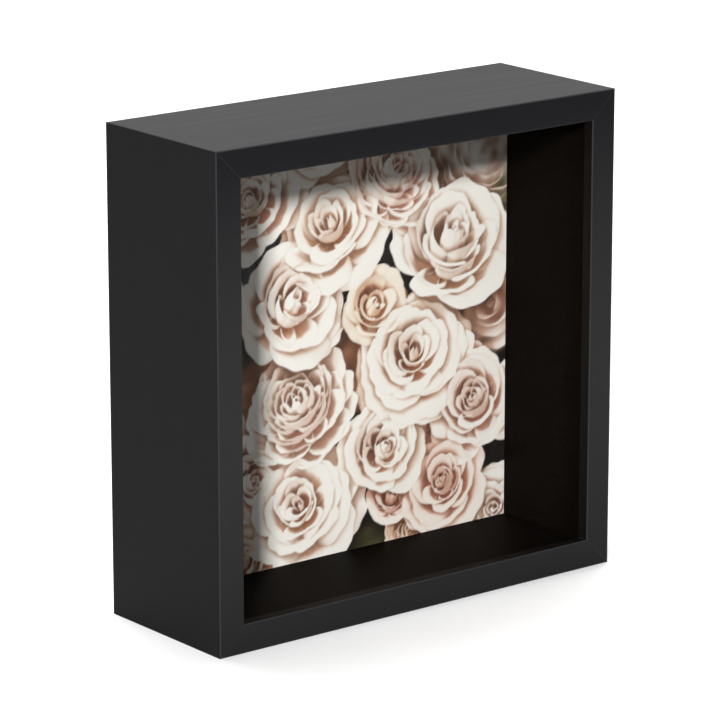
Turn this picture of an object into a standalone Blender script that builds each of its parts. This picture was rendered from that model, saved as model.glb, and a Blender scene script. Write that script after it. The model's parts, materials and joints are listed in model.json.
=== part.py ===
"""A deep, square shadow box: a mitred frame with its glass, spacers, picture, backing board
and rear hardware.

Metres. +X is to the right as seen from the front, +Y runs from the front face into the box,
and +Z is up. The origin is on the surface the box stands on, midway along its width and depth.
"""

import math

import bmesh
import bpy
from mathutils import Matrix, Vector

MM = 0.001
SAME_POINT = 1e-6  # points closer than this are welded
TURNED_STEPS = 24  # sides of a small turned piece

# Fits
GAP = 0.3 * MM  # what touching pieces keep between their surfaces

# Frame rails: an L section, with a lip in front of the glass and a wall behind the lip
OUTER = 222 * MM  # width and height over the outer faces
DEPTH = 80 * MM
FACE = 13.2 * MM  # width of the rail seen from the front
LIP = 6 * MM  # thickness of the lip
WALL = 8 * MM  # thickness of the wall, so also the width of the rear rim
ARRIS = 0.8 * MM  # radius of the eased edges
ARC_STEPS = 5
MITRE_GAP = GAP / math.sqrt(2)  # each rail is shorter by this at each end

# What stands in the rebate, front to back
FIT = 1 * MM  # play of the glass and boards in the rebate, each side
GLASS = 2 * MM
SPACER = 2.5 * MM
PICTURE_AT = 62 * MM  # from the front face to the picture
PICTURE = 0.5 * MM
BACKING = 3 * MM

# Flexible tabs, two to a side. They fold down on the backing board to hold it, and stand up
# along the wall, as they do here, to let it out.
TAB = 0.5 * MM
TAB_WIDTH = 6 * MM
TAB_PITCH = 110 * MM
TAB_REACH = 17 * MM  # from the frame's outer face to the free end, when folded down
TANG_DEPTH = 5.6 * MM  # how far the fixed end is driven into the wall
TANG_TIP = 1.6 * MM
TANG_BACK = 0.1 * MM  # from the wall's face in to the tang's square end
LEAF_ROOT = 0.2 * MM  # from the wall to the start of the bending half
LEAF_CORNER = 1.2 * MM

# V-nails, two driven one behind the other into each mitre
V_LEG = 4 * MM
V_STEEL = 0.4 * MM
V_LENGTH = 10 * MM
V_APEX = 2.4 * MM  # from the apex to both outer faces
V_SUNK = 0.2 * MM

# Sawtooth hanger and its two nails, on the rear rim of the top rail
HANGER_LENGTH = 42 * MM
HANGER_HEIGHT = 6.8 * MM
HANGER_STEEL = 0.7 * MM
HANGER_FOOT = 7.5 * MM  # flat end that is nailed down
HANGER_STEP = 1.3 * MM  # how far the middle is raised
TOOTH_PITCH = 2.4 * MM
TOOTH_DEPTH = 1.3 * MM
TOOTH_CUT = 20 * MM  # thickness of what cuts the teeth, so that it goes right through
TEETH = 9
NAIL_SHANK = 0.6 * MM
NAIL_HEAD = 1.5 * MM
NAIL_HEAD_THICK = 0.5 * MM
NAIL_HEAD_EDGE = 0.3 * MM  # height of the head's straight edge
NAIL_HEAD_FLAT = 1.2 * MM  # radius of the flat on top of the head
NAIL_LENGTH = 9 * MM
NAIL_TIP = 1.5 * MM

# Rubber bumpers, near the two lower rear corners
BUMPER_RADIUS = 3.7 * MM
BUMPER_EDGE = 1 * MM
BUMPER_HEIGHT = 2.5 * MM
BUMPER_FROM_END = 22 * MM
BUMPER_STEPS = 40
DOME_STEPS = 8

# Places worked out from the sizes above
FRONT = -DEPTH / 2
REAR = DEPTH / 2
REBATE = OUTER - 2 * WALL
BOARD = REBATE - 2 * FIT
GLASS_AT = LIP + GAP
SPACER_AT = GLASS_AT + GLASS + GAP
BACKING_AT = PICTURE_AT + PICTURE + GAP
TAB_AT = BACKING_AT + BACKING + GAP
CENTRE = Vector((0, 0, OUTER / 2))
RIM_MIDDLE = WALL / 2

SIDES = ("bottom", "left", "top", "right")
CORNERS = ("bottom_left", "top_left", "top_right", "bottom_right")

COLOURS = {
    "frame": ((0.022, 0.022, 0.024), 0.38, 0.0),
    "spacer": ((0.012, 0.009, 0.007), 0.75, 0.0),
    "glass": ((0.90, 0.94, 0.93), 0.03, 0.0),
    "picture": ((0.62, 0.47, 0.40), 0.8, 0.0),
    "backing": ((0.27, 0.16, 0.085), 0.8, 0.0),
    "steel": ((0.56, 0.57, 0.58), 0.35, 1.0),
    "rubber": ((0.03, 0.03, 0.03), 0.7, 0.0),
}


def clear_scene():
    for thing in list(bpy.data.objects):
        bpy.data.objects.remove(thing, do_unlink=True)


def new_collection(name):
    collection = bpy.data.collections.new(name)
    bpy.context.scene.collection.children.link(collection)
    return collection


def new_material(name):
    colour, roughness, metallic = COLOURS[name]
    material = bpy.data.materials.new(name)
    material.use_nodes = True
    shader = material.node_tree.nodes["Principled BSDF"]
    shader.inputs["Base Color"].default_value = (*colour, 1)
    shader.inputs["Roughness"].default_value = roughness
    shader.inputs["Metallic"].default_value = metallic
    return material


clear_scene()
PARTS = new_collection("shadow_box")
CUTTERS = new_collection("cutters")
MATERIALS = {name: new_material(name) for name in COLOURS}


def add_part(name, mesh, finish, place=Matrix()):
    """Put a mesh into the model as one named sub-part."""
    part = bpy.data.objects.new(name, mesh)
    part.matrix_world = place
    PARTS.objects.link(part)
    if not mesh.materials:
        mesh.materials.append(MATERIALS[finish])
    return part


def add_cutter(name, mesh, place=Matrix()):
    cutter = bpy.data.objects.new(name, mesh)
    cutter.matrix_world = place
    cutter.display_type = "WIRE"
    cutter.hide_render = True
    CUTTERS.objects.link(cutter)
    return cutter


def cut(part, cutter):
    boolean = part.modifiers.new("cut_" + cutter.name, "BOOLEAN")
    boolean.operation = "DIFFERENCE"
    boolean.object = cutter


def round_side(turn):
    """The quarter turn about the box's centre that takes the bottom side to side number turn."""
    spin = Matrix.Rotation(math.radians(90 * turn), 4, "Y")
    return Matrix.Translation(CENTRE) @ spin @ Matrix.Translation(-CENTRE)


def box_mesh(name, low, high):
    """A box between two opposite corners."""
    size = Vector(high) - Vector(low)
    middle = (Vector(high) + Vector(low)) / 2
    form = bmesh.new()
    bmesh.ops.create_cube(form, size=1, matrix=Matrix.Translation(middle) @ Matrix.Diagonal((*size, 1)))
    mesh = bpy.data.meshes.new(name)
    form.to_mesh(mesh)
    form.free()
    return mesh


def outline_mesh(name, points, thickness, place=Matrix()):
    """A flat outline given a thickness: half to each side of the XY plane, then placed."""
    curve = bpy.data.curves.new(name, "CURVE")
    curve.dimensions = "2D"
    curve.fill_mode = "BOTH"
    curve.extrude = thickness / 2
    spline = curve.splines.new("POLY")
    spline.points.add(len(points) - 1)
    for spot, (x, y) in zip(spline.points, points):
        spot.co = (x, y, 0, 1)
    spline.use_cyclic_u = True
    holder = bpy.data.objects.new(name + "_outline", curve)
    bpy.context.scene.collection.objects.link(holder)
    bpy.context.view_layer.update()
    evaluated = holder.evaluated_get(bpy.context.evaluated_depsgraph_get())
    mesh = bpy.data.meshes.new_from_object(evaluated)
    mesh.name = name
    form = bmesh.new()
    form.from_mesh(mesh)
    bmesh.ops.remove_doubles(form, verts=form.verts, dist=SAME_POINT)
    bmesh.ops.recalc_face_normals(form, faces=form.faces)
    form.to_mesh(mesh)
    form.free()
    mesh.transform(place)
    bpy.data.objects.remove(holder)
    return mesh


def turned_mesh(name, profile, steps, place=Matrix()):
    """A profile of (radius, height) points turned about Z, then placed."""
    mesh = bpy.data.meshes.new(name + "_profile")
    points = [(radius, 0, height) for radius, height in profile]
    mesh.from_pydata(points, [(i, i + 1) for i in range(len(points) - 1)], [])
    holder = bpy.data.objects.new(name + "_profile", mesh)
    bpy.context.scene.collection.objects.link(holder)
    screw = holder.modifiers.new("turn", "SCREW")
    screw.steps = steps
    screw.render_steps = steps
    screw.use_merge_vertices = True
    screw.merge_threshold = SAME_POINT
    bpy.context.view_layer.update()
    evaluated = holder.evaluated_get(bpy.context.evaluated_depsgraph_get())
    turned = bpy.data.meshes.new_from_object(evaluated)
    turned.name = name
    form = bmesh.new()
    form.from_mesh(turned)
    bmesh.ops.remove_doubles(form, verts=form.verts, dist=SAME_POINT)
    bmesh.ops.recalc_face_normals(form, faces=form.faces)
    form.to_mesh(turned)
    form.free()
    turned.transform(place)
    bpy.data.objects.remove(holder)
    return turned


def eased(corners, radius):
    """An outline of right-angled corners, each (x, y, is_eased), with an arc at the eased ones."""
    points = []
    for index, (x, y, is_eased) in enumerate(corners):
        corner = Vector((x, y))
        if not is_eased:
            points.append(corner)
            continue
        before = (Vector(corners[index - 1][:2]) - corner).normalized() * radius
        after = (Vector(corners[(index + 1) % len(corners)][:2]) - corner).normalized() * radius
        hub = corner + before + after
        for step in range(ARC_STEPS + 1):
            angle = math.pi / 2 * step / ARC_STEPS
            points.append(hub - after * math.cos(angle) - before * math.sin(angle))
    return points


# A flat outline drawn as (depth, height) and extruded along the rail
ALONG_RAIL = Matrix(((0, 0, 1, 0), (1, 0, 0, 0), (0, 1, 0, 0), (0, 0, 0, 1)))
# A flat outline drawn as (x, z), with its thickness along the box's depth
FACING_FRONT = Matrix(((1, 0, 0, 0), (0, 0, -1, 0), (0, 1, 0, 0), (0, 0, 0, 1)))
# A turned piece whose height points out of the rear
OUT_OF_REAR = Matrix.Rotation(math.radians(-90), 4, "X")


def rail_mesh():
    """The bottom rail: its section, run the full width, with both ends drawn in to a mitre."""
    section = eased(
        (
            (FRONT, 0, True),
            (REAR, 0, True),
            (REAR, WALL, True),
            (FRONT + LIP, WALL, False),
            (FRONT + LIP, FACE, True),
            (FRONT, FACE, True),
        ),
        ARRIS,
    )
    mesh = outline_mesh("rail", section, OUTER, ALONG_RAIL)
    for vertex in mesh.vertices:
        end = OUTER / 2 - vertex.co.z - MITRE_GAP
        vertex.co.x = math.copysign(end, vertex.co.x)
    return mesh


def add_rails():
    mesh = rail_mesh()
    return [
        add_part("rail_" + side, mesh, "frame", round_side(turn)) for turn, side in enumerate(SIDES)
    ]


def add_sheet(name, finish, start, thickness):
    """A square sheet that drops into the rebate, its front at a depth from the front face."""
    low = (-BOARD / 2, FRONT + start, CENTRE.z - BOARD / 2)
    high = (BOARD / 2, FRONT + start + thickness, CENTRE.z + BOARD / 2)
    return add_part(name, box_mesh(name, low, high), finish)


def add_spacers():
    """Strips that keep the picture back from the glass; the side ones stand between the others."""
    shelf = WALL + GAP
    long_end = OUTER / 2 - shelf
    short_end = long_end - SPACER - GAP
    for turn, side in enumerate(SIDES):
        end = long_end if side in ("bottom", "top") else short_end
        low = (-end, FRONT + SPACER_AT, shelf)
        high = (end, FRONT + PICTURE_AT - GAP, shelf + SPACER)
        name = "spacer_" + side
        add_part(name, box_mesh(name, low, high), "spacer", round_side(turn))


def tang_outline():
    """The fixed half of a tab: square in the slot's mouth, with a point driven into the wall."""
    half = TAB_WIDTH / 2
    mouth = WALL - TANG_BACK
    point = WALL - TANG_DEPTH
    return [(-half, mouth), (-half, point + TANG_TIP), (0, point), (half, point + TANG_TIP), (half, mouth)]


def leaf_outline():
    """The bending half of a tab, drawn from its bend at y = 0, with its free end rounded."""
    half = TAB_WIDTH / 2
    free = TAB_REACH - WALL - LEAF_ROOT - TAB / 2
    corners = ((-half, -TAB / 2, False), (half, -TAB / 2, False), (half, free, True), (-half, free, True))
    return eased(corners, LEAF_CORNER)


def add_tabs(rails):
    tang = outline_mesh("tab_tang", tang_outline(), TAB, FACING_FRONT)
    leaf = outline_mesh("tab_leaf", leaf_outline(), TAB, FACING_FRONT)
    slot_low = (-TAB_WIDTH / 2 - GAP, -TAB / 2 - GAP, WALL - TANG_DEPTH - GAP)
    slot_high = (TAB_WIDTH / 2 + GAP, TAB / 2 + GAP, FACE)
    slot = box_mesh("tab_slot", slot_low, slot_high)
    depth = FRONT + TAB_AT + TAB / 2
    to_bend = Matrix.Translation((0, 0, WALL + LEAF_ROOT + TAB / 2))
    standing = to_bend @ Matrix.Rotation(math.radians(-90), 4, "X")
    for turn, side in enumerate(SIDES):
        for number, x in enumerate((-TAB_PITCH / 2, TAB_PITCH / 2), 1):
            ending = f"{side}_{number}"
            at_side = round_side(turn) @ Matrix.Translation((x, depth, 0))
            add_part("tab_tang_" + ending, tang, "steel", at_side)
            add_part("tab_leaf_" + ending, leaf, "steel", at_side @ standing)
            cut(rails[turn], add_cutter("tab_slot_" + ending, slot, at_side))


def v_outline(thickness, leg):
    """A V seen end on: its apex outside corner at (0, 0), a leg along +x and one along +y."""
    return [(0, 0), (leg, 0), (leg, thickness), (thickness, thickness), (thickness, leg), (0, leg)]


def add_v_nails(rails):
    nail = outline_mesh("v_nail", v_outline(V_STEEL, V_LEG), V_LENGTH, FACING_FRONT)
    slot_depth = 2 * V_LENGTH + 2 * GAP + V_SUNK
    slot = outline_mesh("v_slot", v_outline(V_STEEL + 2 * GAP, V_LEG + 2 * GAP), 2 * slot_depth, FACING_FRONT)
    for turn, corner in enumerate(CORNERS):
        at_corner = round_side(turn) @ Matrix.Translation((V_APEX - OUTER / 2, REAR, V_APEX))
        for number in (1, 2):
            middle = -V_SUNK - (V_LENGTH + GAP) * number + V_LENGTH / 2 + GAP
            place = at_corner @ Matrix.Translation((0, middle, 0))
            add_part(f"v_nail_{corner}_{number}", nail, "steel", place)
        cutter = add_cutter("v_slot_" + corner, slot, at_corner @ Matrix.Translation((-GAP, 0, -GAP)))
        cut(rails[turn], cutter)
        cut(rails[(turn + 1) % len(SIDES)], cutter)


def hanger_profile():
    """The hanger seen from above: flat feet, and a middle stepped out from the rim."""
    end = HANGER_LENGTH / 2
    foot = end - HANGER_FOOT
    ramp = foot - HANGER_STEP
    inner = REAR + GAP
    near = [(-end, inner), (-foot, inner), (-ramp, inner + HANGER_STEP)]
    near += [(-x, y) for x, y in reversed(near)]
    return near + [(x, y + HANGER_STEEL) for x, y in reversed(near)]


def add_hanger(rail_top):
    middle = OUTER - RIM_MIDDLE
    name = "sawtooth_hanger"
    plate = outline_mesh(name, hanger_profile(), HANGER_HEIGHT, Matrix.Translation((0, 0, middle)))
    hanger = add_part(name, plate, "steel")
    add_teeth(hanger, middle - HANGER_HEIGHT / 2)
    hole = turned_mesh("nail_hole", rod(NAIL_SHANK + GAP, NAIL_LENGTH), TURNED_STEPS, OUT_OF_REAR)
    nail = turned_mesh("hanger_nail", nail_profile(), TURNED_STEPS, OUT_OF_REAR)
    nail_from_middle = (HANGER_LENGTH - HANGER_FOOT) / 2
    head_at = REAR + GAP + HANGER_STEEL + GAP
    for side, x in (("left", -nail_from_middle), ("right", nail_from_middle)):
        place = Matrix.Translation((x, head_at, middle))
        add_part("hanger_nail_" + side, nail, "steel", place)
        cutter = add_cutter("nail_hole_" + side, hole, place)
        cut(hanger, cutter)
        cut(rail_top, cutter)


def add_teeth(hanger, edge):
    """Cut a row of pointed notches into the hanger's lower edge."""
    start = -TOOTH_PITCH * TEETH / 2
    points = [(start, edge - TOOTH_DEPTH), (start, edge)]
    for tooth in range(TEETH):
        x = start + tooth * TOOTH_PITCH
        points += [(x + TOOTH_PITCH / 2, edge + TOOTH_DEPTH), (x + TOOTH_PITCH, edge)]
    points.append((-start, edge - TOOTH_DEPTH))
    place = Matrix.Translation((0, REAR, 0)) @ FACING_FRONT
    cut(hanger, add_cutter("teeth", outline_mesh("teeth", points, TOOTH_CUT, place)))


def rod(radius, length):
    return [(0, -length - GAP), (radius, -length - GAP), (radius, GAP), (0, GAP)]


def nail_profile():
    """A small flat-headed nail, from its tip up to its head; the underside of the head is at 0."""
    return [
        (0, -NAIL_LENGTH),
        (NAIL_SHANK, NAIL_TIP - NAIL_LENGTH),
        (NAIL_SHANK, 0),
        (NAIL_HEAD, 0),
        (NAIL_HEAD, NAIL_HEAD_EDGE),
        (NAIL_HEAD_FLAT, NAIL_HEAD_THICK),
        (0, NAIL_HEAD_THICK),
    ]


def bumper_profile():
    """A stuck-on dome: a short straight edge, then a quarter of an ellipse up to the middle."""
    crown = BUMPER_HEIGHT - BUMPER_EDGE
    dome = [
        (BUMPER_RADIUS * math.cos(angle), BUMPER_EDGE + crown * math.sin(angle))
        for angle in (math.pi / 2 * step / DOME_STEPS for step in range(DOME_STEPS))
    ]
    return [(0, 0), (BUMPER_RADIUS, 0), *dome, (0, BUMPER_HEIGHT)]


def add_bumpers():
    bumper = turned_mesh("bumper", bumper_profile(), BUMPER_STEPS, OUT_OF_REAR)
    from_middle = OUTER / 2 - BUMPER_FROM_END
    for side, x in (("left", -from_middle), ("right", from_middle)):
        add_part("bumper_" + side, bumper, "rubber", Matrix.Translation((x, REAR + GAP, RIM_MIDDLE)))


RAILS = add_rails()
add_sheet("glass", "glass", GLASS_AT, GLASS)
add_spacers()
add_sheet("picture", "picture", PICTURE_AT, PICTURE)
add_sheet("backing_board", "backing", BACKING_AT, BACKING)
add_tabs(RAILS)
add_v_nails(RAILS)
add_hanger(RAILS[SIDES.index("top")])
add_bumpers()
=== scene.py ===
# %% [markdown]
# # A deep shadow box with a picture of roses
#
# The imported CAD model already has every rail, strip, nail and tab at its real size and place.
# This script dresses it. It paints the picture, gives each material its finish, turns each pair of
# tab halves into one bent strip, and sets up a small studio. Everything is in metres, with
# the box's front towards -Y and the surface that it stands on at Z = 0.

# %% Load the fixed frame
import json
import math

import bmesh
import bpy
import numpy as np
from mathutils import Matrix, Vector


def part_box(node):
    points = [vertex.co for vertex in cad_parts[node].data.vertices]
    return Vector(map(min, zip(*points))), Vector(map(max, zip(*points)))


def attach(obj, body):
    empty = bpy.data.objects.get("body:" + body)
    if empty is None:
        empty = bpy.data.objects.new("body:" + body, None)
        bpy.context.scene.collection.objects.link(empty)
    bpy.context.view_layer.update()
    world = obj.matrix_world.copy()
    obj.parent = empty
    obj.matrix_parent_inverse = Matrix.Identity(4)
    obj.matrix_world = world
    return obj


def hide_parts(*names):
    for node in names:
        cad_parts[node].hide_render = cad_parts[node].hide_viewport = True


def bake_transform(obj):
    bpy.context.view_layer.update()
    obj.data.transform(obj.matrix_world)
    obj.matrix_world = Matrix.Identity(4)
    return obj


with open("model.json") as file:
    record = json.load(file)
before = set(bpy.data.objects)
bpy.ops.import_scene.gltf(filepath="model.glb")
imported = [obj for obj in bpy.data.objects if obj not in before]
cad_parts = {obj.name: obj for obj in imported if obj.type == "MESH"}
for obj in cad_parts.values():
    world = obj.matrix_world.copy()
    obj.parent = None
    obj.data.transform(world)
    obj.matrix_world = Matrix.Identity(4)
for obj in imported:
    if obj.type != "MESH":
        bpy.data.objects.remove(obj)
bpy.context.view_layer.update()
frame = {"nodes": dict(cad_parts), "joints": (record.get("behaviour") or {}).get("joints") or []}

MM = 0.001

# %% [markdown]
# ## Driving sizes
#
# Every place below comes from the boxes of the CAD nodes, so nothing has to be fitted by hand. The
# four rails give the outside of the box. The picture's node gives the card that the roses are
# printed on.

# %% Read the sizes from the frame
rail_low, rail_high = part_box("rail_bottom")
card_low, card_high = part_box("picture")
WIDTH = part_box("rail_right")[1].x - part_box("rail_left")[0].x
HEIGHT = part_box("rail_top")[1].z
FRONT, REAR = rail_low.y, rail_high.y
MIDDLE = Vector((0, (FRONT + REAR) / 2, HEIGHT / 2))
print(f"box {WIDTH / MM:.1f} x {HEIGHT / MM:.1f} mm, {(REAR - FRONT) / MM:.1f} mm deep")

# %% [markdown]
# ## Working with materials
#
# A finish is a Principled shader with a few nodes in front of it. A value that is the same all over
# goes straight on the shader's own socket. What varies comes from a texture. Each helper below adds
# one or two nodes and hands back the socket that the next one needs, so a finish reads as a recipe.

# %% Start a material
def new_material(name, colour, roughness, metallic=0.0, ior=1.45):
    material = bpy.data.materials.new(name)
    material.use_nodes = True
    shader = material.node_tree.nodes["Principled BSDF"]
    shader.inputs["Base Color"].default_value = (*colour, 1)
    shader.inputs["Roughness"].default_value = roughness
    shader.inputs["Metallic"].default_value = metallic
    shader.inputs["IOR"].default_value = ior
    material.diffuse_color = (*colour, 1)
    return material, material.node_tree, shader


def add_node(tree, kind, **values):
    """Add a node, with the values of its sockets given by their names."""
    node = tree.nodes.new("ShaderNode" + kind)
    for name, value in values.items():
        node.inputs[name.replace("_", " ")].default_value = value
    return node


# %% Textures
def noise_along(tree, stretch, scale, detail=4.0):
    """Noise in the box's own coordinates, drawn out along an axis by a small number in stretch."""
    place = add_node(tree, "TexCoord")
    mapping = add_node(tree, "Mapping", Scale=stretch)
    noise = add_node(tree, "TexNoise", Scale=scale, Detail=detail, Roughness=0.6)
    tree.links.new(place.outputs["Object"], mapping.inputs["Vector"])
    tree.links.new(mapping.outputs["Vector"], noise.inputs["Vector"])
    return noise.outputs["Fac"]


def remap(tree, value, low, high, start=0.3, end=0.7):
    """Turn a texture's middle range, start to end, into low to high."""
    ramp = add_node(tree, "MapRange", From_Min=start, From_Max=end, To_Min=low, To_Max=high)
    tree.links.new(value, ramp.inputs["Value"])
    return ramp.outputs["Result"]


def bump(tree, shader, height, depth):
    node = add_node(tree, "Bump", Strength=1.0, Distance=depth)
    tree.links.new(height, node.inputs["Height"])
    tree.links.new(node.outputs["Normal"], shader.inputs["Normal"])


# %% Mixed colours
def mix_colours(tree, share, first, second):
    """From the first colour to the second, by share. Each is plain values or a texture's colour."""
    mix = tree.nodes.new("ShaderNodeMix")
    mix.data_type = "RGBA"
    tree.links.new(share, mix.inputs["Factor"])
    for name, colour in (("A", first), ("B", second)):
        if isinstance(colour, tuple):
            mix.inputs[name].default_value = (*colour, 1)
        else:
            tree.links.new(colour, mix.inputs[name])
    return mix.outputs["Result"]


# %% Dress the nodes
NODES = sorted(frame["nodes"])


def dress(beginnings, material):
    """Give a better material to the CAD nodes whose names begin so, in the slots they already have."""
    dressed = [name for name in NODES if name.startswith(beginnings)]
    for name in dressed:
        for slot in frame["nodes"][name].material_slots:
            slot.material = material
    print(material.name, "on", ", ".join(dressed))


# %% [markdown]
# ## Rails: black satin paint
# The moulding is wood fibre under a thin coat of black satin paint. It is almost black straight on
# and turns grey where it mirrors the studio at a flat angle. Three areas have painted light in
# their colour. The front has a painted sheen: it is lighter than the sides and lightest at the
# middle of its height. The rounded edges have a painted highlight, and the sides that face the
# opening have painted shade, as dark as the spacers. Painting such areas by hand would take a
# texture for each rail. Here the surface's own place and direction say where they are, so one
# recipe fits all four rails.

# %% Find places on a rail
SHEEN_HEIGHT = 0.43 * HEIGHT  # the painted sheen on the front is brightest here
SHEEN_REACH = 0.54 * HEIGHT  # and has faded to its weakest this far away
FLAT, ROUND = 0.95, 0.80  # how squarely a flat side and a rounded edge face an axis
OPENING_FROM, OPENING_TO = 50 * MM, 80 * MM  # from the box's middle


def calculate(tree, operation, *values):
    """A sum of plain numbers and sockets."""
    node = add_node(tree, "Math")
    node.operation = operation
    for socket, value in zip(node.inputs, values):
        if isinstance(value, float):
            socket.default_value = value
        else:
            tree.links.new(value, socket)
    return node.outputs["Value"]


def along_axis(tree, coordinate, axis):
    """One part, X, Y or Z, of the surface's place (Object) or direction (Normal)."""
    split = add_node(tree, "SeparateXYZ")
    tree.links.new(add_node(tree, "TexCoord").outputs[coordinate], split.inputs["Vector"])
    return split.outputs[axis]


def faces(tree, axis):
    """How squarely the surface faces along an axis, from 0 to 1."""
    return calculate(tree, "ABSOLUTE", along_axis(tree, "Normal", axis))


def rounded_edge(tree):
    """1 where the surface faces none of the three axes, and 0 on a flat side."""
    across = calculate(tree, "MAXIMUM", faces(tree, "X"), faces(tree, "Y"))
    return remap(tree, calculate(tree, "MAXIMUM", across, faces(tree, "Z")), 0, 1, FLAT, ROUND)


def inner_side(tree, axis):
    """1 on the sides of a rail that face the opening across an axis."""
    middle = MIDDLE["XYZ".index(axis)]
    inward = calculate(tree, "SUBTRACT", middle, along_axis(tree, "Object", axis))
    facing = calculate(tree, "MULTIPLY", inward, along_axis(tree, "Normal", axis))
    return remap(tree, facing, 0, 1, OPENING_FROM, OPENING_TO)


def painted_sheen_band(tree):
    """1 where the front's painted sheen is brightest, falling away above it and below it."""
    above = calculate(tree, "SUBTRACT", along_axis(tree, "Object", "Z"), SHEEN_HEIGHT)
    return remap(tree, calculate(tree, "MULTIPLY", above, above), 1, 0, 0, SHEEN_REACH**2)


# %% [markdown]
# The moulding machine leaves fine lines along each rail. They vary the gloss and the bump, so their
# noise is drawn out along X for the top and bottom rails and along Z for the side rails.

# %% Paint the rails
PAINT = (0.0046, 0.0046, 0.0052)
PAINT_WORN = (0.0068, 0.0068, 0.0075)
# The front's two colours are a painted sheen: lighter than the sides, and lightest at the sheen height.
FRONT_SHEEN_WEAK = (0.0066, 0.0066, 0.0078)
FRONT_SHEEN_FULL = (0.0200, 0.0200, 0.0203)
# Painted shade on the sides of the rails that face the opening.
INNER_SHADE = (0.0020, 0.0014, 0.0010)
# A painted highlight on the rounded edges of the rails.
EDGE_HIGHLIGHT = (0.028, 0.028, 0.030)
SATIN_LOW, SATIN_HIGH = 0.58, 0.63
PAINT_TOOTH = 0.006 * MM


def satin_black(name, stretch, across):
    material, tree, shader = new_material(name, PAINT, SATIN_LOW, ior=1.16)
    lines = noise_along(tree, stretch, 260)
    specks = noise_along(tree, (1, 1, 1), 1500, 2)
    # A painted sheen for the faces along Y, lightest at the sheen height.
    front = mix_colours(tree, painted_sheen_band(tree), FRONT_SHEEN_WEAK, FRONT_SHEEN_FULL)
    coat = mix_colours(tree, remap(tree, lines, 0, 1), PAINT, PAINT_WORN)
    coat = mix_colours(tree, remap(tree, faces(tree, "Y"), 0, 1, ROUND, FLAT), coat, front)
    # Painted shade on the sides that face the opening.
    coat = mix_colours(tree, inner_side(tree, across), coat, INNER_SHADE)
    # The painted highlight goes on the rounded edges.
    coat = mix_colours(tree, rounded_edge(tree), coat, EDGE_HIGHLIGHT)
    tree.links.new(coat, shader.inputs["Base Color"])
    tree.links.new(remap(tree, lines, SATIN_LOW, SATIN_HIGH), shader.inputs["Roughness"])
    bump(tree, shader, calculate(tree, "ADD", lines, specks), PAINT_TOOTH)
    return material


dress(("rail_top", "rail_bottom"), satin_black("satin_black_level", (0.05, 1, 1), "Z"))
dress(("rail_left", "rail_right"), satin_black("satin_black_upright", (1, 1, 0.05), "X"))

# %% [markdown]
# ## Spacers: matt black board
#
# The strips between the glass and the picture are stained board with a warm, matt black. Their
# colour also holds painted shade for the deep inside of the box, which keeps them darker than the
# frame, so that the picture seems to float at the back. The stain is a little uneven along the
# fibres, which two close colours and a stretched noise give.

# %% Stain the spacers, with painted shade
# The board's own warm black, made darker by painted shade for the inside of the box.
SPACER_BLACK_WITH_SHADE = (0.0019, 0.0012, 0.0008)
SPACER_FIBRE_WITH_SHADE = (0.0031, 0.0021, 0.0014)

spacer_black_and_shade, tree, shader = new_material("spacer_black_with_painted_shade", SPACER_BLACK_WITH_SHADE, 0.55, ior=1.07)
fibres = noise_along(tree, (1, 0.25, 1), 420)
board_black_and_shade = mix_colours(tree, remap(tree, fibres, 0, 1), SPACER_BLACK_WITH_SHADE, SPACER_FIBRE_WITH_SHADE)
tree.links.new(board_black_and_shade, shader.inputs["Base Color"])
bump(tree, shader, fibres, 0.02 * MM)
dress("spacer", spacer_black_and_shade)

# %% [markdown]
# ## Glass: a clear pane
#
# A pane this thin doesn't bend what is behind it. So it can be a mix of a see-through shader and a
# mirror, with a Fresnel node that lets the mirror in at flat angles only. Light then passes
# straight through to the picture, with none of the noise of real refraction. This pane has an
# anti-reflection coat, which a low index of refraction stands for.

# %% Make the glass
GLASS_TINT = (0.985, 0.992, 0.988, 1)
COATED_IOR = 1.035

glass = bpy.data.materials.new("coated_glass")
glass.use_nodes = True
tree = glass.node_tree
tree.nodes.clear()
clear = add_node(tree, "BsdfTransparent", Color=GLASS_TINT)
mirror = add_node(tree, "BsdfGlossy", Color=(1, 1, 1, 1), Roughness=0.02)
edge_on = add_node(tree, "Fresnel", IOR=COATED_IOR)
pane = tree.nodes.new("ShaderNodeMixShader")
surface = tree.nodes.new("ShaderNodeOutputMaterial")
tree.links.new(edge_on.outputs["Fac"], pane.inputs["Fac"])
tree.links.new(clear.outputs["BSDF"], pane.inputs[1])
tree.links.new(mirror.outputs["BSDF"], pane.inputs[2])
tree.links.new(pane.outputs["Shader"], surface.inputs["Surface"])
dress("glass", glass)

# %% [markdown]
# ## Backing board, steel and rubber
#
# The board is bare brown fibreboard, with short fibres that lie every way. The tabs, nails and
# hanger are zinc-plated steel, which is bright but a little cloudy. The bumpers are soft black
# rubber.

# %% Press the board
BOARD = (0.235, 0.135, 0.070)
BOARD_FIBRE = (0.345, 0.215, 0.120)

board, tree, shader = new_material("fibreboard", BOARD, 0.78)
felted = noise_along(tree, (1, 1, 1), 900, 6)
fibres = mix_colours(tree, remap(tree, felted, 0, 1, 0.35, 0.65), BOARD, BOARD_FIBRE)
tree.links.new(fibres, shader.inputs["Base Color"])
bump(tree, shader, felted, 0.05 * MM)
dress("backing_board", board)

# %% Plate the steel
CLOUDY_LOW, CLOUDY_HIGH = 0.24, 0.42

zinc, tree, shader = new_material("zinc_plate", (0.60, 0.61, 0.62), CLOUDY_LOW, metallic=1.0)
cloudy = remap(tree, noise_along(tree, (1, 1, 1), 700), CLOUDY_LOW, CLOUDY_HIGH)
tree.links.new(cloudy, shader.inputs["Roughness"])
dress(("tab_", "v_nail", "sawtooth", "hanger_nail"), zinc)

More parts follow.
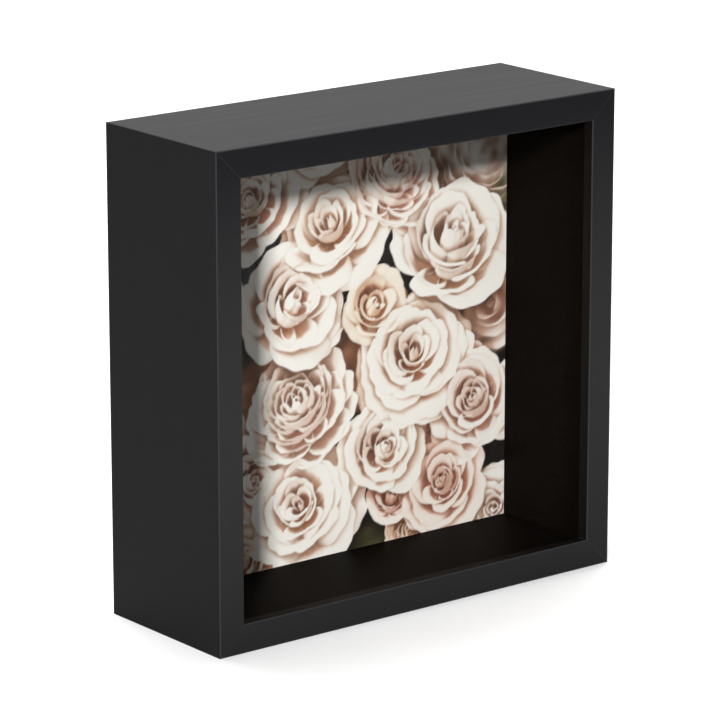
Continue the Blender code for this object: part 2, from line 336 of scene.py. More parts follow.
# %% Mould the bumpers
rubber, tree, shader = new_material("black_rubber", (0.022, 0.022, 0.022), 0.6)
bump(tree, shader, noise_along(tree, (1, 1, 1), 3000, 2), 0.02 * MM)
dress("bumper", rubber)

# %% [markdown]
# ## Glue in the mitres
#
# The CAD rails stop 0.15 mm short of each mitre. On the real frame that hairline is full of dark
# glue, which is why a fine line shows at the corners but no light comes through. Each corner gets
# one thin slab in the shape of the rail's section, a little below the surface. Where the V-nails
# are, it keeps to the outer skin. A bmesh outline, extruded once, makes such a slab.

# %% Fill the mitres
WALL = 8 * MM
FACE = rail_high.z - rail_low.z
LIP = 6 * MM
GLUE_BELOW = 0.12 * MM
GLUE_THICK = 0.2 * MM
NAILS_DEPTH = 22 * MM  # the V-nails reach almost this far in from the rear rim
NAIL_SKIN = 2 * MM  # between the outer faces and the V-nails


def piece_from(form, name, material):
    """Turn a finished bmesh form into an object with one material."""
    mesh = bpy.data.meshes.new(name)
    form.to_mesh(mesh)
    form.free()
    mesh.materials.append(material)
    piece = bpy.data.objects.new(name, mesh)
    bpy.context.scene.collection.objects.link(piece)
    return piece


def glue_slab(name, across, up):
    """A slab in the diagonal plane of one corner; across and up are +1 or -1, towards the middle."""
    back = REAR - GLUE_BELOW
    outline = [
        (FRONT + GLUE_BELOW, GLUE_BELOW),
        (back, GLUE_BELOW),
        (back, NAIL_SKIN),
        (REAR - NAILS_DEPTH, NAIL_SKIN),
        (REAR - NAILS_DEPTH, WALL - GLUE_BELOW),
        (FRONT + LIP - GLUE_BELOW, WALL - GLUE_BELOW),
        (FRONT + LIP - GLUE_BELOW, FACE - GLUE_BELOW),
        (FRONT + GLUE_BELOW, FACE - GLUE_BELOW),
    ]
    corner = Vector((-across * WIDTH / 2, 0, HEIGHT / 2 - up * HEIGHT / 2))
    form = bmesh.new()
    half = Vector((across, 0, -up)).normalized() * GLUE_THICK / 2
    ring = []
    for depth, inward in outline:
        ring.append(form.verts.new(corner + Vector((across * inward, depth, up * inward)) - half))
    grown = bmesh.ops.extrude_face_region(form, geom=[form.faces.new(ring)])["geom"]
    other_side = [part for part in grown if isinstance(part, bmesh.types.BMVert)]
    bmesh.ops.translate(form, verts=other_side, vec=2 * half)
    bmesh.ops.recalc_face_normals(form, faces=form.faces)
    slab = piece_from(form, name, glue)
    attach(slab, "frame")


glue = new_material("dark_glue", (0.004, 0.0035, 0.003), 0.5)[0]
for corner, across, up in (
    ("bottom_left", 1, 1), ("bottom_right", -1, 1), ("top_left", 1, -1), ("top_right", -1, -1),
):
    glue_slab("mitre_glue_" + corner, across, up)
print("filled 4 mitres")

# %% [markdown]
# ## Flexible tabs that bend
#
# In the CAD a tab is two stiff halves on either side of its bend: the tang is driven into the
# wall, and the leaf stands up or folds down on the backing board. On the real frame it is one
# piece of thin steel.
#
# The strip is swept as a ring of eight points. A list of stations gives the way along the strip,
# how wide it is there and which way it heads.

# %% Tab sizes
TAB_THICK = 0.5 * MM
TAB_WIDE = 6 * MM
TAB_EDGE = 0.1 * MM  # the sheared edge is a little rounded
TANG_LONG = 6.05 * MM  # from the tang's point to the bend's centre
POINT_LONG = 1.6 * MM
LEAF_LONG = 8.55 * MM  # from the bend's centre to the free end
LEAF_ROUND = 1.2 * MM
BEND_RADIUS = 0.3 * MM
BEND_STEPS = 8
SHARP_ANGLE = math.radians(30)


def tab_stations():
    """(in from the wall, out to the rear, half width, heading) from the bend's centre."""
    wide = TAB_WIDE / 2
    stations = [(-TANG_LONG, 0, 0.2 * MM, 0)]
    stations += [(-TANG_LONG + POINT_LONG, 0, wide, 0), (-TANG_LONG / 2, 0, wide, 0)]
    for step in range(BEND_STEPS + 1):
        turn = math.pi / 2 * step / BEND_STEPS
        inward = BEND_RADIUS * (math.sin(turn) - 1)
        outward = BEND_RADIUS * (1 - math.cos(turn))
        stations.append((inward, outward, wide, turn))
    for share in (0.25, 0.5, 0.75):
        stations.append((0, BEND_RADIUS + share * (LEAF_LONG - LEAF_ROUND), wide, math.pi / 2))
    for step in range(BEND_STEPS + 1):
        turn = math.pi / 2 * step / BEND_STEPS
        along = LEAF_LONG - LEAF_ROUND * (1 - math.sin(turn))
        stations.append((0, along, wide - LEAF_ROUND * (1 - math.cos(turn)), math.pi / 2))
    return stations


# %% Sweep the strips
def strip_ring(wide):
    """The strip's section: (across, through the thickness), with its four edges cut off."""
    thick = TAB_THICK / 2
    edge = min(TAB_EDGE, wide / 2)
    corners = ((1, 1), (-1, 1), (-1, -1), (1, -1))
    ring = []
    for side, face in corners:
        near = (side * wide, face * (thick - TAB_EDGE))
        far = (side * (wide - edge), face * thick)
        ring += [near, far] if side == face else [far, near]
    return ring


def tab_strip(name, joint):
    centre, hinge = Vector(joint["pos_m"]), Vector(joint["axis"])
    outward = Vector((0, 1, 0))
    inward = outward.cross(hinge)
    form = bmesh.new()
    rings = []
    for into, out, wide, heading in tab_stations():
        normal = outward * math.cos(heading) - inward * math.sin(heading)
        middle = centre + inward * into + outward * out
        rings.append([form.verts.new(middle + hinge * a + normal * n) for a, n in strip_ring(wide)])
    for ring, following in zip(rings, rings[1:]):
        for i, vert in enumerate(ring):
            j = (i + 1) % len(ring)
            form.faces.new((vert, ring[j], following[j], following[i]))
    form.faces.new(rings[0])
    form.faces.new(rings[-1])
    bmesh.ops.recalc_face_normals(form, faces=form.faces)
    strip = piece_from(form, name, zinc)
    strip.data.shade_smooth()
    strip.data.set_sharp_from_angle(angle=SHARP_ANGLE)
    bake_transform(strip)
    ending = name.removeprefix("flex_tab_")
    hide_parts("tab_tang_" + ending, "tab_leaf_" + ending)


tab_joints = [joint for joint in frame["joints"] if joint["name"].startswith("bend_tab_")]
for joint in tab_joints:
    tab_strip(joint["name"].replace("bend_tab", "flex_tab"), joint)
print("made", len(tab_joints), "bending tabs")

# %% [markdown]
# ## The picture: roses, petal by petal
#
# The picture is a close view of garden roses, packed edge to edge. An image file could hold it,
# but here the roses are grown in numbers instead. Each petal is a small curved sheet of points.
# The points drop onto a fine grid of cells, seen from in front, and every cell keeps the highest
# one that lands in it. That is how a depth buffer works. It lets a thousand petals overlap
# properly in a few seconds.

# %% The canvas
CARD_SIDE = card_high.x - card_low.x
CELL = 0.25 * MM
CELLS = 2 * round(CARD_SIDE / CELL / 2)
BOTTOM = -50 * MM  # the ground between the flowers
EARTH = np.array([0.09, 0.06, 0.04])


class Canvas:
    """Square cells in rows from the top, each with its height, normal and colour."""

    def __init__(self):
        self.height = np.full((CELLS, CELLS), BOTTOM)
        self.normal = np.zeros((CELLS, CELLS, 3))
        self.normal[..., 2] = 1
        self.colour = np.ones((CELLS, CELLS, 3)) * EARTH

    def drop(self, points, normals, colours):
        """Keep each point that is the highest so far in its cell."""
        column = np.floor(points[:, 0] / CELL + CELLS / 2).astype(int)
        row = np.floor(CELLS / 2 - points[:, 1] / CELL).astype(int)
        inside = (column >= 0) & (column < CELLS) & (row >= 0) & (row < CELLS)
        rising = np.argsort(points[inside, 2], kind="stable")
        points, normals, colours = (part[inside][rising] for part in (points, normals, colours))
        cell = (row * CELLS + column)[inside][rising]
        highest = np.full(CELLS * CELLS, -1)
        highest[cell] = np.arange(len(cell))
        cells = np.flatnonzero(highest >= 0)
        winner = highest[cells]
        higher = points[winner, 2] > self.height.ravel()[cells]
        cells, winner = cells[higher], winner[higher]
        self.height.reshape(-1)[cells] = points[winner, 2]
        self.normal.reshape(-1, 3)[cells] = normals[winner]
        self.colour.reshape(-1, 3)[cells] = colours[winner]


print(f"a canvas of {CELLS} x {CELLS} cells, {CELL / MM} mm each")

# %% [markdown]
# ### A petal
#
# Seen from the side, a petal is a curve that leans out from the heart, cups back inwards and
# curls over at its rim. The curve is a running sum of its slope, so three angles shape it. Inner
# petals stand up and wrap round the heart, and outer ones lie back. A number q says which: 0 is
# the heart and 1 is outermost. Each kind of flower has a pair of values, inner and outer, for
# every angle in degrees and for the length, where 1 is the rose's radius. Small random turns and
# waves keep any two petals from being the same.

# %% Kinds of rose
FLOWERS = {
    "cup": dict(
        petals=24, lean=(-3, 58), cup=(24, 38), curl=(10, 70), length=(0.60, 0.98), wrap=(120, 62),
        settle=1.5, notch=0.03, core=0.010, ruffle=0.012, sink=0.10,
    ),
    "open": dict(
        petals=30, lean=(-2, 72), cup=(20, 30), curl=(20, 72), length=(0.50, 1.02), wrap=(100, 54),
        settle=1.0, notch=0.06, core=0.015, ruffle=0.020, sink=0.20,
    ),
    "peony": dict(
        petals=40, lean=(4, 66), cup=(30, 40), curl=(-5, 30), length=(0.46, 1.0), wrap=(80, 52),
        settle=1.0, notch=0.07, core=0.025, ruffle=0.016, sink=0.12,
    ),
    "bud": dict(
        petals=16, lean=(-4, 40), cup=(20, 34), curl=(6, 80), length=(0.75, 1.0), wrap=(130, 75),
        settle=1.4, notch=0.03, core=0.010, ruffle=0.012, sink=0.05,
    ),
}


# %% Shape one petal
def ease(start, end, value):
    """0 before start, 1 after end, and a smooth step between them."""
    share = np.clip((value - start) / (end - start), 0, 1)
    return share * share * (3 - 2 * share)


def between(pair, share):
    return pair[0] + (pair[1] - pair[0]) * share


def petal(rng, flower, q, azimuth, rows, columns):
    """Points of a petal of a rose of radius 1, with s from base to rim and t across it."""
    s = np.linspace(0, 1, rows)[:, None]
    t = np.sin(np.linspace(-1, 1, columns) * np.pi / 2)[None, :]
    lean = between(flower["lean"], q ** flower["settle"]) + rng.normal(0, 2 + 5 * q)
    cup = between(flower["cup"], q) + rng.normal(0, 3)
    curl = between(flower["curl"], q**1.5) + rng.normal(0, 8)
    length = between(flower["length"], q**0.8) * rng.uniform(0.94, 1.06)
    wrap = math.radians(between(flower["wrap"], q**0.7)) * rng.uniform(0.9, 1.12)
    notch = flower["notch"] * rng.uniform(0, 1) * np.exp(-(((t - rng.uniform(-0.2, 0.2)) / 0.12) ** 2))
    reach = (1 - np.abs(t) ** 3.2) ** 0.5 * (1 - notch)
    reach = reach + 0.03 * np.sin(5 * t + rng.uniform(0, 6)) * (1 - t**2)
    reach = reach * (1 + 0.012 * np.sin(19 * t + rng.uniform(0, 6)) * (0.4 + q))
    curled = curl * (1 + 0.5 * np.sin(2.2 * t + rng.uniform(0, 6)) + 0.5 * t**2)
    slope = np.radians(lean + cup * np.cos(np.pi * s) + curled * ease(0.62, 1.0, s))
    step = length * reach / (rows - 1)
    outward = np.cumsum(np.sin(slope) * step, axis=0) + flower["core"] * (0.35 + q)
    upward = np.cumsum(np.cos(slope) * step, axis=0) - flower["sink"] * q
    start = rng.uniform(0, 6, 4)
    ruffle = flower["ruffle"] * (0.3 + q) * s**3
    upward = upward + ruffle * (np.sin(4 * t + start[0]) + 0.6 * np.sin(9 * t + start[1]))
    outward = outward + 0.6 * ruffle * np.sin(6 * t + start[2])
    upward = upward + 0.004 * q * s**2 * np.sin(16 * t + 4 * s + start[3])
    angle = azimuth + wrap * t * (0.35 + 0.65 * ease(0, 0.6, s))
    points = np.stack([outward * np.cos(angle), outward * np.sin(angle), upward], axis=-1)
    return points, s + 0 * t, t + 0 * s


def sheet_normals(points):
    """Unit normals of a grid of points, all facing the front."""
    normal = np.cross(np.gradient(points, axis=0), np.gradient(points, axis=1))
    normal /= np.linalg.norm(normal, axis=-1, keepdims=True) + 1e-12
    return np.where(normal[..., 2:] < 0, -normal, normal)


# %% [markdown]
# ### A rose
#
# Real petals grow in a spiral, each a golden angle round from the one before, so no two lie right
# over each other. The petals are warm at their base, where light passes through several of them,
# and pale at the rim.

# %% Grow one rose
GOLDEN_ANGLE = math.radians(137.508)
ROWS_PER_CELL, COLUMNS_PER_CELL = 1.15, 2.1  # points are closer than cells, so no cell is missed


def tilt_matrix(back, sideways):
    """Turn a flower that faces front by two angles in degrees, about X and then about Y."""
    a, b = math.radians(back), math.radians(sideways)
    about_x = np.array([[1, 0, 0], [0, math.cos(a), -math.sin(a)], [0, math.sin(a), math.cos(a)]])
    about_y = np.array([[math.cos(b), 0, math.sin(b)], [0, 1, 0], [-math.sin(b), 0, math.cos(b)]])
    return about_x @ about_y


def grow_rose(canvas, centre, radius, kind, petal_colour, heart_colour, tilt, turn, seed):
    rng = np.random.default_rng(seed)
    flower = FLOWERS[kind]
    turned = tilt_matrix(*tilt).T * radius
    for number in range(flower["petals"]):
        q = (number / (flower["petals"] - 1)) ** 0.75
        azimuth = number * GOLDEN_ANGLE + turn + rng.normal(0, 0.12)
        cells_long = between(flower["length"], q**0.8) * radius / CELL
        rows = int(20 + ROWS_PER_CELL * cells_long)
        columns = int(30 + COLUMNS_PER_CELL * cells_long * (0.75 + 0.35 * q))
        points, s, t = petal(rng, flower, q, azimuth, rows, columns)
        points = points @ turned
        warm = (ease(1.0, 0.2, s) * (0.95 - 0.40 * q))[..., None]
        vein = 0.03 * np.sin(60 * t + 6 * np.sin(3 * s + number)) * ease(0.1, 0.9, s) * ease(1.0, 0.7, s)
        tone = 1 + rng.normal(0, 0.025) + vein[..., None]
        edge = 0.08 * ease(0.93, 1.0, s) * (0.5 + 0.5 * np.sin(3 * t + number))
        colours = (petal_colour * (1 - warm) + heart_colour * warm) * tone * (1 - edge[..., None])
        normals = sheet_normals(points).reshape(-1, 3)
        canvas.drop(points.reshape(-1, 3) + centre, normals, colours.reshape(-1, 3))


# %% [markdown]
# ### A leaf
#
# A few rose leaves fill the gaps. A leaf is a flat sheet, folded a little along its midrib, with
# a toothed edge and pale veins.

# %% Grow one leaf
def grow_leaf(canvas, centre, length, angle, colour):
    count = int(30 + 1.6 * length / CELL)
    s = np.linspace(0, 1, count)[:, None]
    t = np.linspace(-1, 1, count)[None, :]
    half = 0.30 * np.sin(np.pi * s**0.8) ** 0.9 * (1 + 0.05 * np.sin(46 * s))
    along, across = s + 0 * t, half * t + 0.06 * np.sin(2.5 * s)
    height = 0.16 * np.abs(t) * np.sin(np.pi * s) - 0.25 * (s - 0.4) ** 2
    cos, sin = math.cos(angle), math.sin(angle)
    points = np.stack([along * cos - across * sin, along * sin + across * cos, height], axis=-1) * length
    veins = 0.18 * ease(0.75, 1.0, np.abs(np.sin(6.5 * np.pi * (s - 0.35 * np.abs(t)))))
    veins = veins + 0.5 * ease(0.07, 0, np.abs(t))
    colours = colour * (1 + veins[..., None]) * (0.8 + 0.3 * s[..., None])
    normals = sheet_normals(points).reshape(-1, 3)
    canvas.drop(points.reshape(-1, 3) + centre, normals, colours.reshape(-1, 3))


# %% [markdown]
# ### The arrangement
#
# The flowers are listed from the far ones to the near ones, which lie over them. Each row gives
# a flower's place on the card and its radius in millimetres, its kind and colours, how it tilts,
# and how far it stands in front of the picture's middle depth.

# %% Colours of the petals, hearts and leaves
WHITE = np.array([0.97, 0.915, 0.875])
CREAM = np.array([0.95, 0.875, 0.815])
BLUSH = np.array([0.92, 0.80, 0.75])
DUSK = np.array([0.84, 0.66, 0.60])
TAN = np.array([0.82, 0.66, 0.555])
WARM = np.array([0.80, 0.52, 0.38])
PINK = np.array([0.76, 0.47, 0.40])
SAND = np.array([0.80, 0.57, 0.41])
LEAF_GREEN = np.array([0.19, 0.21, 0.13])

# %% Place the flowers
ROSES = [
    (84, 70, 46, "peony", WHITE, SAND, (-20, 10), -36),
    (-44, 66, 33, "cup", WHITE, PINK, (-20, -10), -6),
    (-12, 95, 30, "open", CREAM, WARM, (-20, 5), -9),
    (46, 100, 24, "open", TAN, WARM, (-20, -5), -30),
    (98, 0, 28, "bud", BLUSH, PINK, (-10, -20), -30),
    (6, -12, 28, "peony", TAN, SAND, (-5, 10), -30),
    (-51, -20, 29, "peony", TAN, SAND, (-5, 10), -28),
    (-52, -58, 26, "bud", BLUSH, PINK, (0, 20), -5),
    (32, -84, 20, "bud", DUSK, PINK, (-25, 5), -4),
    (44, -99, 19, "peony", TAN, WARM, (-10, 0), -5),
    (97, -98, 25, "open", WHITE, PINK, (-10, -15), -1),
    (55, -52, 20, "bud", DUSK, WARM, (-25, 5), -12),
    (20, 9, 28, "bud", TAN, WARM, (-14, 10), -1),
    (0, 48, 36, "open", CREAM, SAND, (-30, -12), 1),
    (32, 67, 33, "peony", BLUSH, PINK, (-34, 16), -2),
    (66, 26, 44, "cup", WHITE, SAND, (-36, 8), 1),
    (-18, -31, 36, "peony", WHITE, PINK, (-28, -14), 0),
    (85, -45, 35, "cup", BLUSH, PINK, (-14, -12), 4),
    (65, -81, 31, "cup", DUSK, PINK, (-16, -8), 3),
    (-27, 16, 37, "cup", WHITE, WARM, (-16, 16), 6),
    (45, -18, 38, "open", CREAM, WARM, (-22, 2), 7),
    (27, -58, 30, "cup", CREAM, PINK, (-10, 8), 8),
    (-18, -78, 37, "open", WHITE, WARM, (-18, -12), 8),
    (-58, 98, 24, "peony", CREAM, SAND, (-18, 12), -8),
    (-80, 74, 37, "open", BLUSH, PINK, (-18, 12), 0),
    (-78, 20, 38, "cup", WHITE, WARM, (-12, -14), 2),
    (-84, -32, 33, "open", CREAM, PINK, (-12, 10), -1),
    (-82, -80, 36, "cup", CREAM, WARM, (-14, 10), 5),
    (-50, -96, 24, "bud", TAN, SAND, (-10, -10), -4),
    (-100, 48, 20, "bud", TAN, WARM, (-10, 10), -5),
]
LEAVES = [  # place, length and heading
    (52, 76, 34, 200), (55, 70, 30, 250), (-26, -8, 26, 300), (-34, -12, 24, 20), (52, -52, 20, 20),
    (58, -58, 22, 120), (92, -12, 24, 240), (21, -36, 16, 60), (-5, 82, 26, 170), (-60, 45, 30, 250),
    (-56, -5, 28, 60), (8, -104, 26, 20), (-60, -75, 26, 200), (96, 40, 26, 80), (72, -62, 20, 320),
    (-100, -52, 26, 20), (-30, 44, 20, 200),
]
LEAF_DEPTH = -18 * MM
FIRST_SEED = 11
TURN_STEP = 1.7

canvas = Canvas()
for number, (x, y, length, heading) in enumerate(LEAVES):
    shade = 0.7 + 0.5 * (number * 2 % 5) / 4
    place = np.array([x * MM, y * MM, LEAF_DEPTH])
    grow_leaf(canvas, place, length * MM, math.radians(heading), LEAF_GREEN * shade)
for number, (x, y, radius, kind, petals, heart, tilt, depth) in enumerate(ROSES):
    place = np.array([x * MM, y * MM, depth * MM])
    seed = FIRST_SEED + number
    grow_rose(canvas, place, radius * MM, kind, petals, heart, tilt, number * TURN_STEP, seed)
covered = np.mean(canvas.height > BOTTOM)
print(f"{len(ROSES)} roses and {len(LEAVES)} leaves cover {covered:.1%} of the canvas")

# %% [markdown]
# ### Light in the picture
#
# The print has its own light, from a big window at its upper left. Three things make petals read
# as petals: shading that wraps softly round them, darkness where a cell lies lower than what is
# round it, and the shadow of whatever stands between a cell and the window. Blurred copies of the
# height field give the second, and copies shifted towards the window give the third. Light that
# gets into a rose's folds bounces from petal to petal, so the folds turn warm rather than grey.
# Roses far behind the others are out of focus, so their colours are blurred.

# %% Blur, and fill pinholes
def blur(field, sigma):
    """A Gaussian blur by fast Fourier transform, with the edges held."""
    pad = int(3 * sigma) + 1
    padded = np.pad(field, pad, mode="edge")
    down = np.fft.fftfreq(padded.shape[0])[:, None]
    across = np.fft.rfftfreq(padded.shape[1])[None]
    spread = np.exp(-2 * (np.pi * sigma) ** 2 * (down**2 + across**2))
    return np.fft.irfft2(np.fft.rfft2(padded) * spread, s=padded.shape)[pad:-pad, pad:-pad]


def mend(canvas):
    """A cell that fell between two points of one petal takes its neighbour's values."""
    for axis in (0, 1, 0, 1):
        before, after = np.roll(canvas.height, 1, axis), np.roll(canvas.height, -1, axis)
        deep = np.minimum(before, after) - canvas.height > 0.4 * MM
        hole = deep & (np.abs(before - after) < 1.2 * MM)
        for field in (canvas.height, canvas.normal, canvas.colour):
            field[hole] = np.roll(field, 1, axis)[hole]


# %% Light the flowers
TO_WINDOW = np.array([-0.47, 0.57, 0.67])
WRAP = 0.5  # how far light reaches round a petal's turned-away side
SHADE = 0.5  # how dark a shadow is
FOLDS = ((0.8, 0.20), (2, 0.30), (5, 0.42), (12, 0.50))  # size in mm, and how much it darkens
SHADOW_STEPS = 20
SKYLIGHT = np.array([0.98, 0.98, 1.0]) * 0.56
SUNLIGHT = np.array([1.0, 0.985, 0.965]) * 0.66
BOUNCE = np.array([1.0, 0.70, 0.55])  # the tint of light that has passed through petals
FAR_FROM, FAR_TO = -6 * MM, -18 * MM
FAR_BLUR = 6


def openness(height):
    """1 on top of a petal, falling towards 0 in a deep fold."""
    open_sky = np.ones_like(height)
    for size, strength in FOLDS:
        above = blur(height, size * MM / CELL) - height
        open_sky *= 1 - strength * (1 - np.exp(-np.clip(above, 0, None) / (size * MM * 0.55)))
    return open_sky


def window_shadow(height):
    """1 where something stands between a cell and the window."""
    shadow = np.zeros_like(height)
    for step in range(1, SHADOW_STEPS):
        rise = 0.3 * MM * step * (1 + 0.1 * step)
        right, down = (round(way * rise / TO_WINDOW[2] / CELL) for way in (TO_WINDOW[0], -TO_WINDOW[1]))
        above = np.roll(height, (-down, -right), (0, 1)) - height - rise
        shadow = np.maximum(shadow, ease(0, 1.6 * MM + 0.6 * rise, above))
    return blur(shadow, 2)


def light_flowers(canvas):
    facing = canvas.normal @ (TO_WINDOW / np.linalg.norm(TO_WINDOW))
    window = np.clip((facing + WRAP) / (1 + WRAP), 0, 1) * (1 - SHADE * window_shadow(canvas.height))
    sky = openness(canvas.height)
    light = sky[..., None] * SKYLIGHT + (window * (0.45 + 0.55 * sky))[..., None] * SUNLIGHT
    fold = 1 - np.clip(1.45 * sky * (0.35 + 0.65 * window), 0, 1)
    lit = canvas.colour * light * (1 - fold[..., None] * (1 - BOUNCE))
    far = ease(FAR_FROM, FAR_TO, canvas.height)
    weight = blur(far, FAR_BLUR) + 1e-4
    for channel in range(3):
        soft = blur(lit[..., channel] * far, FAR_BLUR) / weight
        lit[..., channel] += (soft - lit[..., channel]) * far
    return np.clip(lit, 0, None)


# %% [markdown]
# A print can't be brighter than its paper. Ink also rolls off smoothly towards the paper's white
# and is strong in the shadows, where its red is weakest. One curve for each colour does both.

# %% Print the flowers
PAPER = np.array([0.77, 0.725, 0.68])
KNEE = np.array([0.43, 0.42, 0.41])
CONTRAST = 1.8


def to_print(light):
    return PAPER * (1 - np.exp(-((light / KNEE) ** CONTRAST)))


mend(canvas)
painting = to_print(light_flowers(canvas))
print("the painting's mean colour is", painting.mean(axis=(0, 1)).round(3))

# %% [markdown]
# ## Ink on paper
#
# The shader reads the printed colour from the mesh, where it is stored in a colour attribute named
# ink. Matt print paper scatters light evenly, so it is rough, with a fine tooth from the paper's
# fibres. The tooth also breaks up the ink a little.

# %% Mix the ink
TOOTH_DEPTH = 0.01 * MM
INK_LOW, INK_HIGH = (0.95, 0.95, 0.95), (1.0, 1.0, 1.0)

printed, tree, shader = new_material("print_on_paper", (0.6, 0.5, 0.45), 0.68, ior=1.4)
colour = tree.nodes.new("ShaderNodeVertexColor")
colour.layer_name = "ink"
tooth = noise_along(tree, (1, 1, 1), 2200, 3)
inked = tree.nodes.new("ShaderNodeMix")
inked.data_type = "RGBA"
inked.blend_type = "MULTIPLY"
inked.inputs["Factor"].default_value = 1
tree.links.new(colour.outputs["Color"], inked.inputs["A"])
tree.links.new(mix_colours(tree, tooth, INK_LOW, INK_HIGH), inked.inputs["B"])
tree.links.new(inked.outputs["Result"], shader.inputs["Base Color"])
bump(tree, shader, tooth, TOOTH_DEPTH)
print("mixed the ink")

# %% [markdown]
# ## The printed card
#
# The card is a thin board. Its front is a grid with two canvas cells to a side of every face, and
# each corner of the grid stores the colour that is printed there. The rest of the card is bare
# white paper: extruding the grid's edge makes the sides, and one face closes the back.

# %% Cut the card
CARD_THICK = card_high.y - card_low.y
GRID = CELLS // 2

form = bmesh.new()
bmesh.ops.create_grid(form, x_segments=GRID, y_segments=GRID, size=CARD_SIDE / 2)
for vert in form.verts:
    across, up, _ = vert.co
    vert.co = (across, card_low.y, up + (card_low.z + card_high.z) / 2)
rim = [edge for edge in form.edges if edge.is_boundary]
grown = bmesh.ops.extrude_edge_only(form, edges=rim)["geom"]
rear = [part for part in grown if isinstance(part, bmesh.types.BMVert)]
bmesh.ops.translate(form, verts=rear, vec=(0, CARD_THICK, 0))
rear_rim = [part for part in grown if isinstance(part, bmesh.types.BMEdge)]
bmesh.ops.contextual_create(form, geom=rear_rim)
bmesh.ops.recalc_face_normals(form, faces=form.faces)
card = piece_from(form, "rose_picture", printed)
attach(card, "back")
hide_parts("picture")
print("the card has", len(card.data.polygons), "faces")

# %% Print on the card
BARE_PAPER = 0.82


def printed_colours(points):
    """The painting's colour at each point of the card's front, averaged over four cells."""
    padded = np.pad(painting, ((1, 1), (1, 1), (0, 0)), mode="edge")
    corners = sum(padded[i : i + CELLS + 1, j : j + CELLS + 1] for i in (0, 1) for j in (0, 1)) / 4
    column = np.rint((points[:, 0] - card_low.x) / CELL).astype(int).clip(0, CELLS)
    row = np.rint((card_high.z - points[:, 2]) / CELL).astype(int).clip(0, CELLS)
    return corners[row, column]


points = np.empty(len(card.data.vertices) * 3)
card.data.vertices.foreach_get("co", points)
points = points.reshape(-1, 3)
ink = np.ones((len(points), 4))
ink[:, :3] = printed_colours(points)
ink[points[:, 1] > card_low.y + CARD_THICK / 2, :3] = BARE_PAPER
layer = card.data.color_attributes.new("ink", "FLOAT_COLOR", "POINT")
layer.data.foreach_set("color", ink.ravel())
print("printed", len(points), "points")

# %% [markdown]
# ## A small studio
#
# The box stands on a plain pale floor. A small main light hangs to the left of the camera and a
# little higher. It reaches the roses through the glass, and the frame throws a soft-edged shadow
# on their top and left. White paper would fill that shadow with light, so this floor sends none
# back to what stands on it. It is still seen, and still mirrored in the paint.

# %% Floor
FLOOR_SIDE = 12
FLOOR_END = 1.9  # behind the box, where the bright room takes over
FLOOR = (0.80, 0.80, 0.80)

bpy.ops.mesh.primitive_plane_add(size=FLOOR_SIDE, location=(0, FLOOR_END - FLOOR_SIDE / 2, 0))
floor = bpy.context.object
floor.name = "floor"
floor.visible_diffuse = False
paper, tree, shader = new_material("white_paper", FLOOR, 0.9)
bump(tree, shader, noise_along(tree, (1, 1, 1), 300, 2), 0.05 * MM)
floor.data.materials.append(paper)
print("laid a floor", FLOOR_SIDE, "m wide")

# %% [markdown]
# A wide light above and behind the box brightens the floor there. The room is a plain sky that is
# bright behind the box and to its right, and dim everywhere else. The black paint on the top rail
# mirrors the bright part as grey, and the dim part keeps the front of the frame black.

# %% Lights
MAIN_SIDE, MAIN_WATTS = 0.2, 77
FLOOR_LIGHT_WATTS = 25
FLOOR_LIGHT_SPREAD = math.radians(100)


def soft_light(name, place, aim, size, watts):
    data = bpy.data.lights.new(name, "AREA")
    data.shape = "RECTANGLE"
    data.size, data.size_y = size
    data.energy = watts
    light = bpy.data.objects.new(name, data)
    light.location = place
    light.rotation_euler = (Vector(aim) - Vector(place)).to_track_quat("-Z", "Y").to_euler()
    bpy.context.scene.collection.objects.link(light)
    print(name, "of", watts, "W at", [round(value, 2) for value in light.location])
    return light


def around(azimuth, elevation, distance):
    """A place seen from the box's middle; azimuth 0 is in front and -90 is to the left."""
    a, e = math.radians(azimuth), math.radians(elevation)
    return MIDDLE + distance * Vector((math.sin(a) * math.cos(e), -math.cos(a) * math.cos(e), math.sin(e)))


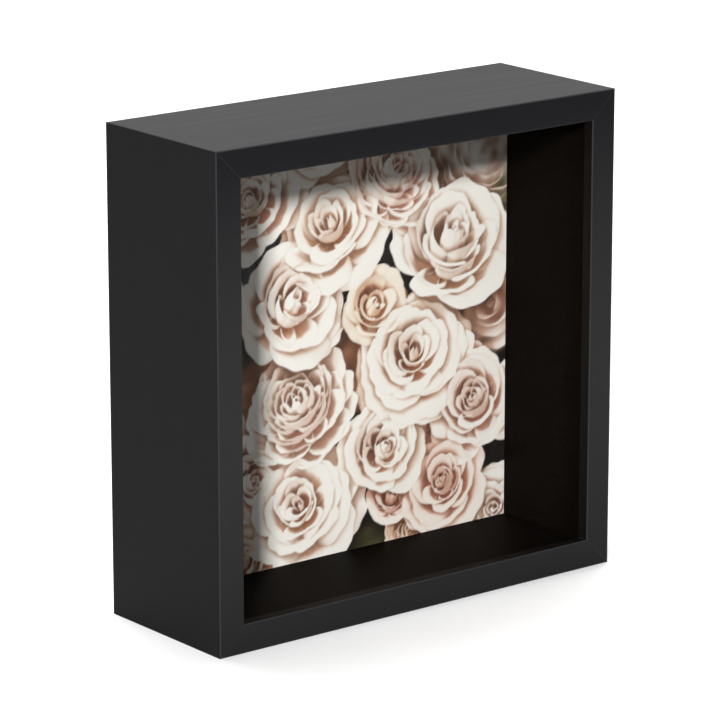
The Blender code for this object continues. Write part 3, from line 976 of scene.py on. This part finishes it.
soft_light("main_light", around(-45.5, 22.2, 2.2), MIDDLE, (MAIN_SIDE, MAIN_SIDE), MAIN_WATTS)
floor_light = soft_light("floor_light", (0.6, 0.9, 2.2), (0.5, 0.6, 0), (2.2, 1.8), FLOOR_LIGHT_WATTS)
floor_light.data.spread = FLOOR_LIGHT_SPREAD

# %% The room: dim in front and bright behind
ROOM_FRONT = 0.30
ROOM_BACK = 2.6
BRIGHTEST = (0.62, 0.78, 0)  # behind the box and to its right
DIM_UP_TO, BRIGHT_FROM = 0.35, 0.95  # how nearly a direction points there

world = bpy.data.worlds.new("studio")
world.use_nodes = True
tree = world.node_tree
towards = add_node(tree, "VectorMath")
towards.operation = "DOT_PRODUCT"
towards.inputs[1].default_value = BRIGHTEST
tree.links.new(add_node(tree, "TexCoord").outputs["Generated"], towards.inputs[0])
strength = remap(tree, towards.outputs["Value"], ROOM_FRONT, ROOM_BACK, DIM_UP_TO, BRIGHT_FROM)
tree.links.new(strength, tree.nodes["Background"].inputs["Strength"])
tree.nodes["Background"].inputs["Color"].default_value = (1, 1, 1, 1)
bpy.context.scene.world = world
bpy.context.scene.view_settings.view_transform = "Standard"
print("the room is", round(ROOM_BACK / ROOM_FRONT, 1), "times as bright behind as in front")

# %% [markdown]
# ## Camera
#
# The box is looked at from its left and a little above, with a long lens from far off, which
# keeps its upright edges nearly upright.

# %% Place the camera
CAMERA_AZIMUTH = -38.35
CAMERA_ELEVATION = 14.83
CAMERA_DISTANCE = 1.817
LENS_MM = 204.07
SENSOR_MM = 36
AIM = Vector((-0.0026, 0.0006, 0.1066))

lens = bpy.data.cameras.new("camera")
lens.lens = LENS_MM
lens.sensor_width = SENSOR_MM
camera = bpy.data.objects.new("camera", lens)
camera.location = around(CAMERA_AZIMUTH, CAMERA_ELEVATION, CAMERA_DISTANCE) - MIDDLE + AIM
camera.rotation_euler = (AIM - camera.location).to_track_quat("-Z", "Y").to_euler()
bpy.context.scene.collection.objects.link(camera)
bpy.context.scene.camera = camera
print("the camera is at", [round(value, 3) for value in camera.location])
